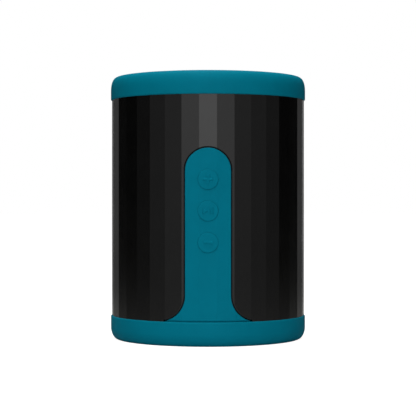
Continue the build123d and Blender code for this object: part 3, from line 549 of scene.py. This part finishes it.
def backdrop_material():
    """Floor: glowing matt white to the camera, and glossy grey to all other rays. The glow dims
    near the object, so the shade round its foot is partly the real shadow in the matt layer and
    partly painted shade.
    """
    material = bpy.data.materials.new("floor_white")
    material.use_nodes = True
    tree = material.node_tree
    tree.nodes.clear()
    place = tree.nodes.new("ShaderNodeTexCoord")
    away = tree.nodes.new("ShaderNodeVectorMath")
    away.operation = "LENGTH"
    tree.links.new(place.outputs["Object"], away.inputs[0])

    def by_distance(near, far, start, end):
        node = tree.nodes.new("ShaderNodeMapRange")
        for socket, number in zip(
            ("From Min", "From Max", "To Min", "To Max"), (start, end, near, far)
        ):
            node.inputs[socket].default_value = number
        tree.links.new(away.outputs["Value"], node.inputs["Value"])
        return node.outputs[0]

    white = tree.nodes.new("ShaderNodeEmission")
    # painted shade: the glow is dimmer near the object, so its foot shows a faint shade
    tree.links.new(by_distance(*FLOOR_GLOW, *GLOW_SPAN), white.inputs["Strength"])
    matt = tree.nodes.new("ShaderNodeBsdfDiffuse")
    tree.links.new(by_distance(*FLOOR_TONES, *TONES_SPAN), matt.inputs["Color"])
    board = tree.nodes.new("ShaderNodeBsdfPrincipled")
    tree.links.new(by_distance(*FLOOR_TONES, *TONES_SPAN), board.inputs["Base Color"])
    board.inputs["Roughness"].default_value = FLOOR_ROUGHNESS
    board.inputs["IOR"].default_value = FLOOR_IOR
    both = tree.nodes.new("ShaderNodeAddShader")
    tree.links.new(white.outputs[0], both.inputs[0])
    tree.links.new(matt.outputs[0], both.inputs[1])
    path = tree.nodes.new("ShaderNodeLightPath")
    mix = tree.nodes.new("ShaderNodeMixShader")
    tree.links.new(path.outputs["Is Camera Ray"], mix.inputs[0])
    tree.links.new(board.outputs[0], mix.inputs[1])
    tree.links.new(both.outputs[0], mix.inputs[2])
    output = tree.nodes.new("ShaderNodeOutputMaterial")
    tree.links.new(mix.outputs[0], output.inputs["Surface"])
    return material


def floor():
    mesh = bpy.data.meshes.new("floor")
    builder = bmesh.new()
    bmesh.ops.create_circle(builder, cap_ends=True, radius=FLOOR_RADIUS, segments=96)
    builder.to_mesh(mesh)
    builder.free()
    mesh.materials.append(backdrop_material())
    plane = bpy.data.objects.new("floor", mesh)
    bpy.context.scene.collection.objects.link(plane)


def world():
    sky = bpy.data.worlds.new("studio")
    bpy.context.scene.world = sky
    sky.use_nodes = True
    tree = sky.node_tree
    tree.nodes.clear()
    shown = tree.nodes.new("ShaderNodeBackground")
    shown.inputs["Color"].default_value = (1, 1, 1, 1)
    dim = tree.nodes.new("ShaderNodeBackground")
    dim.inputs["Color"].default_value = (1, 1, 1, 1)
    dim.inputs["Strength"].default_value = WORLD_DIM
    path = tree.nodes.new("ShaderNodeLightPath")
    mix = tree.nodes.new("ShaderNodeMixShader")
    tree.links.new(path.outputs["Is Camera Ray"], mix.inputs[0])
    tree.links.new(dim.outputs[0], mix.inputs[1])
    tree.links.new(shown.outputs[0], mix.inputs[2])
    output = tree.nodes.new("ShaderNodeOutputWorld")
    tree.links.new(mix.outputs[0], output.inputs["Surface"])


# Softboxes: degrees round from the front, degrees up, width, height, watts, colour.
# The low ones stand in a fan round the front and behind; the high ones hang over the object.
WHITE = (1, 1, 1)
WARM = (1, 1, 0.93)
LIGHTS = {
    "front": (0, 12, 0.36, 0.6, 1.34, WHITE),
    "front_right": (20, 12, 0.36, 0.6, 0.64, WHITE),
    "front_left": (-20, 12, 0.36, 0.6, 0.7, WHITE),
    "fan_right_1": (40, 12, 0.36, 0.6, 0.24, WHITE),
    "fan_left_1": (-40, 12, 0.36, 0.6, 0.25, WHITE),
    "fan_right_2": (60, 12, 0.36, 0.6, 0.17, WHITE),
    "fan_left_2": (-60, 12, 0.36, 0.6, 0.16, WHITE),
    "fan_right_3": (80, 12, 0.36, 0.6, 0.1, WHITE),
    "fan_left_3": (-80, 12, 0.36, 0.6, 0.04, WHITE),
    "rear_right": (140, 12, 0.36, 0.6, 0.1, WHITE),
    "rear_left": (-140, 12, 0.36, 0.6, 0.11, WHITE),
    "edge_right": (164, 12, 0.1, 0.6, 0.11, WHITE),
    "edge_left": (-164, 12, 0.1, 0.6, 0.07, WHITE),
    "rear": (180, 12, 0.2, 0.6, 0.8, WHITE),
    "high_front": (0, 48, 0.6, 0.45, 0.94, WHITE),
    "mid_front": (0, 28, 0.5, 0.3, 0.95, WHITE),
    "high_left": (-45, 70, 0.6, 0.45, 3.2, WARM),
    "top": (0, 88, 0.35, 0.35, 4.8, WARM),
    "high_rear_right": (150, 60, 0.6, 0.45, 1.2, WHITE),
    "high_rear_left": (-150, 60, 0.6, 0.45, 1.2, WHITE),
}
TARGET = Vector((0, 0, 0.056))
LIGHT_DISTANCE = 1.0
EYE = (0, -0.6107, 0.0590)
EYE_DIP = 0.0045  # radians that the camera looks down
LENS = 121.8


def softbox(name, turn, up, width, height, power, colour):
    light = bpy.data.lights.new(name, "AREA")
    light.shape = "RECTANGLE"
    light.size = width
    light.size_y = height
    light.energy = power
    light.color = colour
    lamp = bpy.data.objects.new(name, light)
    a, e = radians(turn), radians(up)
    way = Vector((sin(a) * cos(e), -cos(a) * cos(e), sin(e)))
    lamp.location = TARGET + way * LIGHT_DISTANCE
    lamp.rotation_euler = way.to_track_quat("Z", "Y").to_euler()
    bpy.context.scene.collection.objects.link(lamp)
    lamp.visible_camera = False


def camera():
    data = bpy.data.cameras.new("camera")
    data.sensor_width = 36
    data.lens = LENS
    data.clip_start = 0.01
    data.clip_end = 30
    eye = bpy.data.objects.new("camera", data)
    eye.location = EYE
    eye.rotation_euler = (pi / 2 - EYE_DIP, 0, 0)
    bpy.context.scene.collection.objects.link(eye)
    bpy.context.scene.camera = eye


floor()
world()
for name, settings in LIGHTS.items():
    softbox(name, *settings)
camera()
bpy.context.scene.view_settings.view_transform = "Standard"
